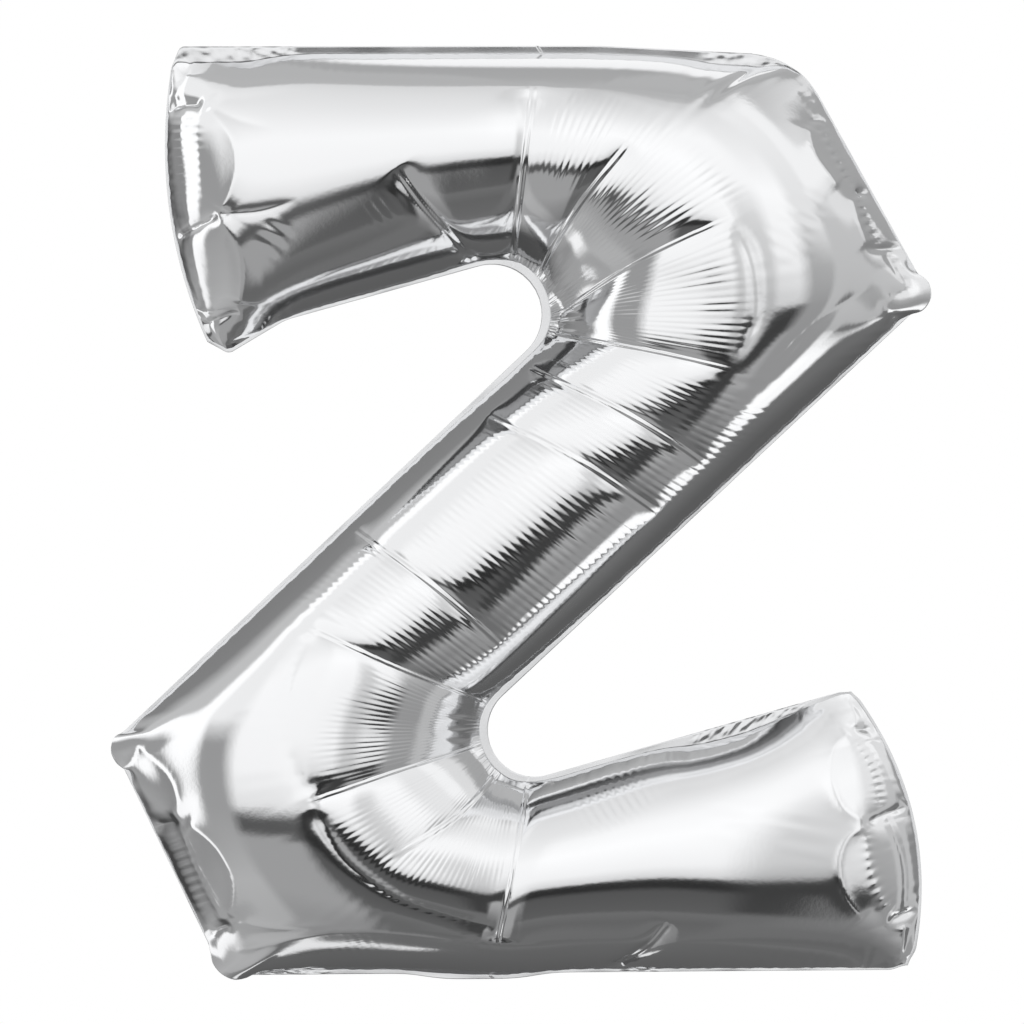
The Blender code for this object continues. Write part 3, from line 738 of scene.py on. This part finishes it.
def gather_height(columns, across, seed):
    """Fine gathers square to the seam, which fade out into the tube."""
    along_edges = smooth_noise(columns.from_left, across, GATHER_SPACING, 0.5, seed)
    total = along_edges * np.exp(-np.minimum(across, 1 - across) / GATHER_REACH)
    along_ends = smooth_noise(columns.from_left, across, 0.05, GATHER_SPACING / END_LENGTH, seed + 1)
    total += (along_ends - total) * np.exp(-columns.from_end[:, None] / END_GATHER_REACH)
    return GATHER_HEIGHT * total


def pleat_height(columns, across, squeeze, spread, seed):
    """The fine pleats: their height over the sheet. spread is how far apart the columns lie there, as a
    share of their distance along the middle."""
    along, rib = columns.from_left, columns.rib
    drift = smooth_noise(along, across, 0.045, 0.35, seed)
    phase = 2 * math.pi * along[:, None] / PLEAT_WAVELENGTH + 2.4 * drift
    strength = np.zeros((len(along), len(across)))
    for first, last, low, high, share in PLEATS:
        over = between(rib, first + 0.02, first + 0.2, last - 0.2, last - 0.02)
        band = between(across, low, low + 0.06, high - 0.10, high)
        strength = np.maximum(strength, share * over[:, None] * band)
    uneven = 0.8 + 0.6 * smooth_noise(along, across, PLEAT_WAVELENGTH, 0.09, seed + 1)
    height = PLEAT_WAVELENGTH * spread / math.pi * np.sqrt(squeeze)
    return height * strength * uneven * (2 * np.abs(np.sin(phase / 2)) ** 0.8 - 1)


class Nodes:
    """Small helpers for a tree of shader nodes."""

    def __init__(self, tree):
        self.nodes, self.links = tree.nodes, tree.links

    def fill(self, node, inputs):
        """Sets a node's inputs, given by name or number, or links them where a socket is given."""
        for key, value in inputs.items():
            if isinstance(value, bpy.types.NodeSocket):
                self.links.new(value, node.inputs[key])
            else:
                node.inputs[key].default_value = value

    def add(self, kind, inputs):
        node = self.nodes.new("ShaderNode" + kind)
        self.fill(node, inputs)
        return node

    def noise(self, scale, detail=2.0):
        place = self.add("TexCoord", {}).outputs["Object"]
        return self.add("TexNoise", {"Vector": place, "Scale": scale, "Detail": detail}).outputs["Fac"]

    def varied(self, noise, low, high):
        return self.add("MapRange", {"Value": noise, "To Min": low, "To Max": high}).outputs[0]

    def bump(self, noise, strength, distance):
        return self.add("Bump", {"Height": noise, "Strength": strength, "Distance": distance}).outputs[0]

    def maths(self, operation, *values, clamp=False):
        node = self.add("Math", {})
        node.operation = operation
        node.use_clamp = clamp
        self.fill(node, dict(enumerate(values)))
        return node.outputs[0]

    def mix(self, share, first, second):
        first_part = self.maths("MULTIPLY", first, self.maths("SUBTRACT", 1.0, share))
        return self.maths("ADD", first_part, self.maths("MULTIPLY", second, share))

    def tones(self, place, stops):
        """A tone by height, from stops in degrees. place is 0 straight down and 1 straight up."""
        ramp = self.add("ValToRGB", {0: place})
        elements = ramp.color_ramp.elements
        for index, (degrees, tone) in enumerate(stops.items()):
            element = elements[index] if index < 2 else elements.new(1.0)
            element.position = (degrees + 90) / 180
            element.color = (tone, tone, tone, 1.0)
        return ramp.outputs[0]


def mirror_foil(make):
    return {
        "Base Color": (0.88, 0.885, 0.895, 1.0),
        "Metallic": 1.0,
        "Roughness": make.varied(make.noise(9.0, 4.0), 0.05, 0.13),
        "Normal": make.bump(make.noise(260.0, 3.0), 0.25, 0.00012),
    }


def sealed_border(make):
    return {
        "Base Color": (0.80, 0.805, 0.815, 1.0),
        "Metallic": 1.0,
        "Roughness": 0.26,
        "Normal": make.bump(make.noise(420.0), 0.12, 0.0002),
    }


def clear_film(make):
    return {
        "Base Color": (0.82, 0.84, 0.85, 1.0),
        "Transmission Weight": 0.85,
        "IOR": 1.45,
        "Roughness": make.varied(make.noise(120.0), 0.12, 0.30),
    }


def pale_floor(_):
    return {"Base Color": (0.9, 0.9, 0.9, 1.0), "Roughness": 0.8}


def new_material(recipe):
    """A material named like its recipe, which gives its shader's inputs."""
    material = bpy.data.materials.new(recipe.__name__)
    material.use_nodes = True
    make = Nodes(material.node_tree)
    make.fill(material.node_tree.nodes["Principled BSDF"], recipe(make))
    return material


MATERIALS = {recipe.__name__: new_material(recipe) for recipe in (mirror_foil, sealed_border, clear_film)}


def dress(piece, node, slot):
    """Puts a piece on the balloon's body in the place of a CAD node, with the material that its slot names.
    """
    piece.data.materials.append(MATERIALS[slot])
    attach(piece, "root")
    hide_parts(node)


def thicken(piece, thickness):
    solid = piece.modifiers.new("Thickness", "SOLIDIFY")
    solid.thickness = thickness
    solid.offset = 0.0


def evened(points, weight_along, weight_across, rounds):
    """Points drawn towards the middle of their neighbours along and across the tube, by weight, again and
    again."""
    points = points.copy()
    weight_along, weight_across = weight_along[1:-1, 1:-1, None], weight_across[1:-1, 1:-1, None]
    for _ in range(rounds):
        inner = points[1:-1, 1:-1]
        along = (points[2:, 1:-1] + points[:-2, 1:-1]) / 2 - inner
        across = (points[1:-1, 2:] + points[1:-1, :-2]) / 2 - inner
        points[1:-1, 1:-1] = inner + weight_along * along + weight_across * across
    return points


def without_coarse_wrinkles(points, flat, columns, across):
    """The simulated form with its own wrinkles evened out: across the tube at its ends, and elsewhere along
    the tube, but less on the outer side of each fan."""
    along_weight = np.zeros(points.shape[:2])
    across_weight = np.zeros(points.shape[:2])
    for name, (share, within, _, _) in zip(GATHERED_SEAMS, gathered_seams(flat)):
        if name.endswith("end"):
            across_weight = np.maximum(across_weight, EVENING * smoothstep(within, 0.10, 0.05))
        else:
            beside = between(share, 0.0, 0.08, 0.92, 1.0)
            along_weight = np.maximum(along_weight, EVENING * beside * smoothstep(within, 0.12, 0.07))
    rib = columns.rib[:, None]
    for ribs, shares in SMOOTH_SIDES:
        beside = between(rib, *ribs) * smoothstep(across, *shares)
        along_weight = np.maximum(along_weight, EVENING * beside)
    points = evened(points, along_weight, across_weight, EVENING_ROUNDS)
    share = smoothstep(columns.from_end[:, None], 0.03, 0.10)
    for ribs, shares in FAN_SIDES:
        share = share * (1 - between(rib, *ribs) * smoothstep(across, *shares))
    points = points + share[..., None] * (smoothed(points, 3) - points)
    share = between(rib, *DIAGONAL)
    return points + share[..., None] * (smoothed(points, 7) - points)


class Sheet:
    """The inflated half as smooth grids of any fineness."""

    def __init__(self):
        points, flat, seam, self.columns, across = inflated_half()
        lengths = [np.linalg.norm(np.diff(grid, axis=0), axis=-1) for grid in (points, flat)]
        squeeze = 1 - lengths[0] / lengths[1]
        squeeze = np.concatenate([squeeze, squeeze[-1:]])
        self.squeeze = smoothed(smoothed(squeeze, 3).T, 2).T
        points = fit_to_outline(points, seam, self.columns, across)
        self.points = without_coarse_wrinkles(points, flat, self.columns, across)

    def read(self, grid, columns, across):
        column_place = np.interp(columns.rib, self.columns.rib, np.arange(len(self.columns.rib)))
        return cubic(cubic(grid, column_place, 0), across * (grid.shape[1] - 1), 1)


class Length:
    """One length of the sheet, in the form that both foils share: its smooth points, the pleats' squeeze
    and spread, the hills and valleys, how far the seam lets go of these, and the pillows."""

    def __init__(self, whole, wide_grid, spacing, rows, first, last):
        self.columns = columns = Columns(spacing, first, last)
        self.across = across = np.linspace(0, 1, rows)
        self.points = points = whole.read(whole.points, columns, across)
        self.squeeze = np.clip(whole.read(whole.squeeze, columns, across), *SQUEEZE_LIMITS)
        spread = np.linalg.norm(np.gradient(points, axis=0), axis=-1)
        self.spread = np.clip(spread / np.gradient(columns.from_left)[:, None], *SPREAD_LIMITS)
        self.hills = wrinkle_height(points) - crease_depth(points, wide_grid)
        from_seam = np.minimum(across, 1 - across) * TUBE_WIDTH
        self.hold = smoothstep(np.minimum(from_seam, columns.from_end[:, None]), 0.0, SEAM_HOLD)
        self.pillows = gathered_height(flat_grid(columns, across))

    def surface(self, seed):
        """The points of one foil, with everything that stands on the smooth ones."""
        height = pleat_height(self.columns, self.across, self.squeeze, self.spread, seed) + self.hills
        height = height * self.hold + self.pillows + gather_height(self.columns, self.across, seed + 2)
        grid = self.points + surface_normals(self.points) * height[..., None]
        grid[..., 1] = np.maximum(grid[..., 1], 0)
        return grid

    def flat_size(self):
        """Its width, height and area on the flat film."""
        flat = flat_grid(self.columns, self.across)
        size = flat.reshape(-1, 2).max(0) - flat.reshape(-1, 2).min(0)
        along, down = flat[1:, :-1] - flat[:-1, :-1], flat[:-1, 1:] - flat[:-1, :-1]
        area = np.abs(along[..., 0] * down[..., 1] - along[..., 1] * down[..., 0]).sum()
        return [float(side) for side in size], float(area)


def stitch(lengths):
    """Joins the bars' end columns to the middle's, which have half as many rows."""
    middle = lengths["middle"]
    for bar, bar_end, middle_end in (("top_bar", -1, 0), ("bottom_bar", 0, -1)):
        column = middle[middle_end]
        lengths[bar][bar_end, ::2] = column
        lengths[bar][bar_end, 1::2] = (column[1:] + column[:-1]) / 2


def foil_sheets(lengths):
    """Both foils, each in three lengths."""
    for foil, side, seed in (("front_foil", -1, 11), ("back_foil", 1, 47)):
        grids = {name: length.surface(seed) for name, length in lengths.items()}
        stitch(grids)
        for name, grid in grids.items():
            grid = grid * (1, side, 1)
            piece = new_mesh_object(f"{foil}_{name}", grid[:, ::-1] if side < 0 else grid)
            dress(piece, foil + "_sheet", "mirror_foil")
            size, area = lengths[name].flat_size()


def border_loop(grids):
    """The outer points of the three lengths' grids, in one loop."""
    upper = [grid[:, 0] for grid in grids]
    lower = [grid[::-1, -1] for grid in grids[::-1]]
    return np.concatenate(upper + [grids[-1][-1, 1:-1]] + lower + [grids[0][0, -2:0:-1]])


def border(lengths):
    """The sealed border: a thin, slightly wavy ring from the seam to the outer edge."""
    outer = [letter_grid(OUTER_EDGES, part.columns, part.across, END_BULGES, END_FADE) for part in lengths]
    outer_loop = given_way(border_loop(outer))
    inner_loop = border_loop([part.points[..., [0, 2]] for part in lengths])
    run = run_lengths(outer_loop)
    turn = 2 * math.pi * run / run[-1]
    random = np.random.default_rng(5)
    calm = sum(np.sin(cycles * turn + random.uniform(0, 2 * math.pi)) for cycles in WAVE_CYCLES)
    crumpled = np.zeros(len(run))
    for pixel, reach in CRUMPLED_BORDER.values():
        distance = np.linalg.norm(outer_loop - from_photo([pixel]), axis=1)
        crumpled = np.maximum(crumpled, smoothstep(distance, reach, 0.6 * reach))
    on_top = smoothstep(outer_loop[:, 1], *TOP_BORDER_HEIGHTS) * (1 - crumpled)
    shares = np.array(BORDER_ROWS)
    wild = smooth_noise(run, shares + 0.2, 0.0065, 0.32, 8, length=5.0)
    wild = wild + 0.5 * smooth_noise(run, shares + 0.2, 0.0026, 0.25, 9, length=5.0)
    ring = np.empty((len(run), len(shares), 3))
    for row, share in enumerate(shares):
        outwards = max(share, 0)
        ring[:, row, [0, 2]] = inner_loop + (outer_loop - inner_loop) * share
        ring[:, row, 1] = CALM_WAVE * calm * outwards**1.5 - TOP_BORDER_LEAN * on_top * outwards
        ring[:, row, 1] += CRUMPLED_WAVE * crumpled * wild[:, row] * min(3 * outwards, 1.0)
    piece = new_mesh_object("sealed_border", ring, closed=True)
    thicken(piece, BORDER_THICKNESS)
    dress(piece, SEAM_BAND, "sealed_border")


def film_strip(name, x_middle, path, width, crinkle, seed, corner=0.0, hole=None):
    """A strip of film along a path of (y, z), with slight crinkles, round corners at its free end and
    perhaps a hole at the y given."""
    path = cubic(np.array(path), np.linspace(0, len(path) - 1, 12 * len(path)), 0)
    reach = run_lengths(path)
    along = np.linspace(0, reach[-1], round(reach[-1] / STRIP_GRID) + 1)
    path = np.stack([np.interp(along, reach, path[:, k]) for k in (0, 1)], axis=-1)
    side = np.linspace(-1, 1, round(width / STRIP_GRID) + 1)
    half_width = np.full(len(along), width / 2)
    if corner:
        short = np.clip(corner - (reach[-1] - along), 0, corner)
        half_width -= corner - np.sqrt(corner**2 - short**2)
    run = np.gradient(path, axis=0)
    run /= np.linalg.norm(run, axis=1)[:, None]
    shares = (side + 1) / 2
    wave = smooth_noise(along, shares, 0.006, 0.3, seed)
    wave = wave + 0.5 * smooth_noise(along, shares, 0.0025, 0.12, seed + 1)
    wave = crinkle * wave * smoothstep(along, 0.0, 0.4 * reach[-1])[:, None]
    points = np.empty((len(along), len(side), 3))
    points[..., 0] = x_middle + half_width[:, None] * side
    points[..., 1] = path[:, :1] - wave * run[:, 1:]
    points[..., 2] = path[:, 1:] + wave * run[:, :1]
    piece = new_mesh_object(name, points)
    if hole:
        cut_round_hole(piece, x_middle, hole, TAB_HOLE_RADIUS)
    thicken(piece, STRIP_THICKNESS)
    return piece


def declare_strip(path):
    """Works out how long a strip's path of (y, z) is, and does nothing more with that length."""
    length = float(run_lengths(np.array(path))[-1])


def cut_round_hole(piece, x, y, radius):
    """Opens a hole upwards through a strip, and draws the points of its rim onto a circle."""
    mesh = bmesh.new()
    mesh.from_mesh(piece.data)
    away = {vertex: math.hypot(vertex.co.x - x, vertex.co.y - y) for vertex in mesh.verts}
    inside = [vertex for vertex in mesh.verts if away[vertex] < radius and vertex.co.z > TAB_FLAT]
    bmesh.ops.delete(mesh, geom=inside, context="VERTS")
    for vertex in mesh.verts:
        if vertex.is_boundary and away[vertex] < 1.4 * radius:
            vertex.co.x = x + (vertex.co.x - x) * radius / away[vertex]
            vertex.co.y = y + (vertex.co.y - y) * radius / away[vertex]
    mesh.to_mesh(piece.data)
    mesh.free()
    piece.data.shade_smooth()


def underside(points, x, reach):
    """The film's underside at an x, from the seam back to a reach: points (y, z) and their normals."""
    bottom_edge = points[:, -1]
    miss = np.abs(bottom_edge[:, 0] - x) + 10 * (bottom_edge[:, 2] > -0.38)
    section = points[np.argmin(miss), ::-1, 1:]
    section = section[: np.argmax(section[:, 0]) + 1]
    depths = np.linspace(0.004, reach, 9)
    heights = np.interp(depths, section[:, 0], section[:, 1])
    run = np.stack([np.gradient(depths), np.gradient(heights)], axis=-1)
    normals = np.stack([run[:, 1], -run[:, 0]], axis=-1) / np.linalg.norm(run, axis=1)[:, None]
    return np.stack([depths, heights], axis=-1), normals


def filling_neck(points):
    """Two foil plies with the valve's film between them, folded back under the film."""
    for layer, (name, (node, slot, width, reach)) in enumerate(NECK_LAYERS.items()):
        places, normals = underside(points, NECK_X, reach)
        lift = NECK_LIFT * (places[:, :1] / NECK_REACH) ** 2
        path = places + normals * (NECK_CLEARANCE + layer * NECK_SPACING + lift)
        path = np.concatenate([[NECK_ROOT], path])
        piece = film_strip(name, NECK_X, path, width, NECK_CRINKLE, NECK_SEED + layer)
        dress(piece, node, slot)
        declare_strip(path)


def hanging_tabs():
    for seed, (side, (x, top)) in enumerate(TABS.items(), TAB_SEED):
        path = [(TAB_ROOT, top - TAB_BEND - 0.0020)]
        for angle in np.radians((0, 30, 60, 90)):
            path.append((TAB_ROOT + TAB_BEND * (1 - np.cos(angle)), top - TAB_BEND * (1 - np.sin(angle))))
        path += [(TAB_ROOT + 2.5 * TAB_BEND, top), (TAB_HOLE_PLACE, top - 0.0003), (TAB_TIP, top - 0.0002)]
        name = f"ribbon_tab_{side}"
        piece = film_strip(name, x, path, TAB_WIDTH, TAB_CRINKLE, seed, TAB_CORNER, TAB_HOLE_PLACE)
        dress(piece, f"hang_tab_{side}", "sealed_border")
        declare_strip(path)


def floor():
    bpy.ops.mesh.primitive_circle_add(vertices=96, radius=3.0, fill_type="NGON", location=(0, 0, -0.75))
    disc = bpy.context.object
    disc.name = "studio_floor"
    disc.data.materials.append(new_material(pale_floor))
    disc.visible_glossy = False


# What the foil reflects: zones by direction, each with the direction where it starts, how far it fades into
# the one before, and its brightness by height, all in degrees. 0 is straight ahead of the balloon, where
# the camera stands, 180 behind it, and negative directions are to the left.
BEHIND_TONES = {
    -90: 0.15, -24: 0.1, -8: 0.07, 5: 0.1, 9: 1.1, 50: 1, 56: 0.42, 74: 0.44, 90: 0.5,
}
ZONES = {
    "behind_on_the_left": (-180, 0, BEHIND_TONES),
    "left_rear": (-166, 6, {
        -90: 0.15, -79: 0.15, -77: 0.9, -72: 0.9, -70: 0.09, -12: 0.06, -6: 0.05, 8: 0.08, 14: 0.22,
        45: 0.26, 60: 0.5, 90: 0.5,
    }),
    "left_outer": (-122, 20, {
        -90: 0.15, -72: 0.18, -62: 0.38, -40: 0.38, -30: 0.3, -22: 0.38, -12: 0.28, 8: 0.28, 14: 0.44,
        22: 0.58, 45: 0.58, 60: 0.52, 90: 0.5,
    }),
    "left_strip": (-94, 4, {
        -90: 0.15, -72: 0.15, -58: 0.36, -44: 0.4, -36: 1, -8: 1.15, 60: 1.15, 70: 0.5, 90: 0.5,
    }),
    "flank": (-80, 5, {
        -90: 0.18, -74: 0.3, -60: 0.44, -46: 0.48, -14: 0.36, 10: 0.34, 22: 0.95, 60: 0.95, 75: 0.8,
        90: 0.72,
    }),
    "left": (-54, 10, {
        -90: 0.2, -62: 0.3, -50: 0.37, -25: 0.37, -21: 0.1, -16: 0.1, -11: 0.85, 2: 1.02, 26: 1.06,
        45: 0.94, 56: 0.88, 70: 0.83, 90: 0.72,
    }),
    "ahead": (-10, 8, {
        -90: 0.16, -62: 0.14, -50: 0.17, -47: 0.12, -25: 0.1, -20: 0.03, -13: 0.03, -10.5: 0.75, 0: 1,
        12: 1.06, 26: 1.12, 42: 1.06, 56: 0.9, 70: 0.76, 90: 0.6,
    }),
    "near_right": (17, 8, {
        -90: 0.16, -62: 0.17, -48: 0.16, -42: 0.06, -16: 0.05, -12: 0.5, -4: 0.66, 14: 0.76, 28: 1.04,
        44: 1.06, 60: 0.88, 90: 0.62,
    }),
    "right": (32, 8, {
        -90: 0.16, -62: 0.17, -46: 0.24, -30: 0.4, -26: 0.42, -23: 0.05, -14: 0.05, -11: 0.7, 4: 0.98,
        26: 1.08, 45: 0.95, 60: 0.86, 75: 0.7, 90: 0.58,
    }),
    "right_flank": (54, 10, {
        -90: 0.15, -62: 0.13, -48: 0.3, -14: 0.34, 4: 0.46, 18: 0.85, 60: 0.95, 75: 0.55, 90: 0.5,
    }),
    "strip": (78, 5, {
        -90: 0.15, -56: 0.15, -50: 1.15, -36: 1.15, -26: 0.5, 20: 0.6, 30: 1, 60: 1, 70: 0.5, 90: 0.5,
    }),
    "right_outer": (93, 4, {
        -90: 0.15, -56: 0.15, -50: 1.1, -35: 1.1, -28: 0.2, -12: 0.16, -6: 0.24, 8: 0.3, 14: 0.55,
        22: 0.82, 45: 0.78, 60: 0.55, 90: 0.5,
    }),
    "rear_flank": (108, 5, {
        -90: 0.15, -62: 0.2, -45: 0.17, -12: 0.16, -6: 0.24, 8: 0.28, 14: 0.34, 22: 0.4, 45: 0.42,
        60: 0.46, 90: 0.5,
    }),
    "rear": (134, 26, {
        -90: 0.15, -57: 0.12, -12: 0.11, -6: 0.06, 6: 0.08, 10: 0.38, 45: 0.5, 60: 0.5, 90: 0.5,
    }),
    "behind_on_the_right": (166, 6, BEHIND_TONES),
}


def studio_world():
    """White to the camera. The foil reflects a studio: bright in front and above, dark under the camera's
    level, a grey floor and upright light strips at the sides."""
    world = bpy.data.worlds.new("studio")
    bpy.context.scene.world = world
    world.use_nodes = True
    world.node_tree.nodes.clear()
    make = Nodes(world.node_tree)
    split = make.add("SeparateXYZ", {0: make.add("TexCoord", {}).outputs["Generated"]})
    height = make.maths("MULTIPLY_ADD", make.maths("ARCSINE", split.outputs["Z"]), 1 / math.pi, 0.5)
    direction = make.maths("ARCTAN2", split.outputs["X"], make.maths("MULTIPLY", split.outputs["Y"], -1.0))
    degrees = make.maths("MULTIPLY", direction, 180 / math.pi)
    tone = make.tones(height, BEHIND_TONES)
    for start, fade, tones in list(ZONES.values())[1:]:
        past = make.maths("SUBTRACT", degrees, start - fade / 2)
        share = make.maths("DIVIDE", past, fade, clamp=True)
        tone = make.mix(share, tone, make.tones(height, tones))
    room = make.add("Background", {"Color": tone}).outputs[0]
    white = make.add("Background", {"Color": (1.0, 1.0, 1.0, 1.0)}).outputs[0]
    seen_by_camera = make.add("LightPath", {}).outputs["Is Camera Ray"]
    shown = make.add("MixShader", {0: seen_by_camera, 1: room, 2: white}).outputs[0]
    make.add("OutputWorld", {0: shown})


def camera():
    data = bpy.data.cameras.new("camera")
    data.sensor_width = 36.0
    data.lens = data.sensor_width * CAMERA_DISTANCE / (PIXELS * METRES_PER_PIXEL)
    obj = bpy.data.objects.new("camera", data)
    bpy.context.scene.collection.objects.link(obj)
    x = (PIXELS / 2 - MIDDLE_PIXEL[0]) * METRES_PER_PIXEL
    z = (MIDDLE_PIXEL[1] - PIXELS / 2) * METRES_PER_PIXEL
    obj.location = (x, -CAMERA_DISTANCE, z)
    obj.rotation_euler = (math.pi / 2, 0.0, 0.0)
    bpy.context.scene.camera = obj


whole = Sheet()
path_spacing, path_rows = PATH_GRID
wide_grid = whole.read(whole.points, Columns(path_spacing), np.linspace(0, 1, path_rows))
lengths = {name: Length(whole, wide_grid, *grid) for name, grid in LENGTHS.items()}
foil_sheets(lengths)
border(lengths.values())
hanging_tabs()
filling_neck(whole.points)
floor()
studio_world()
camera()
bpy.context.scene.view_settings.view_transform = "Standard"
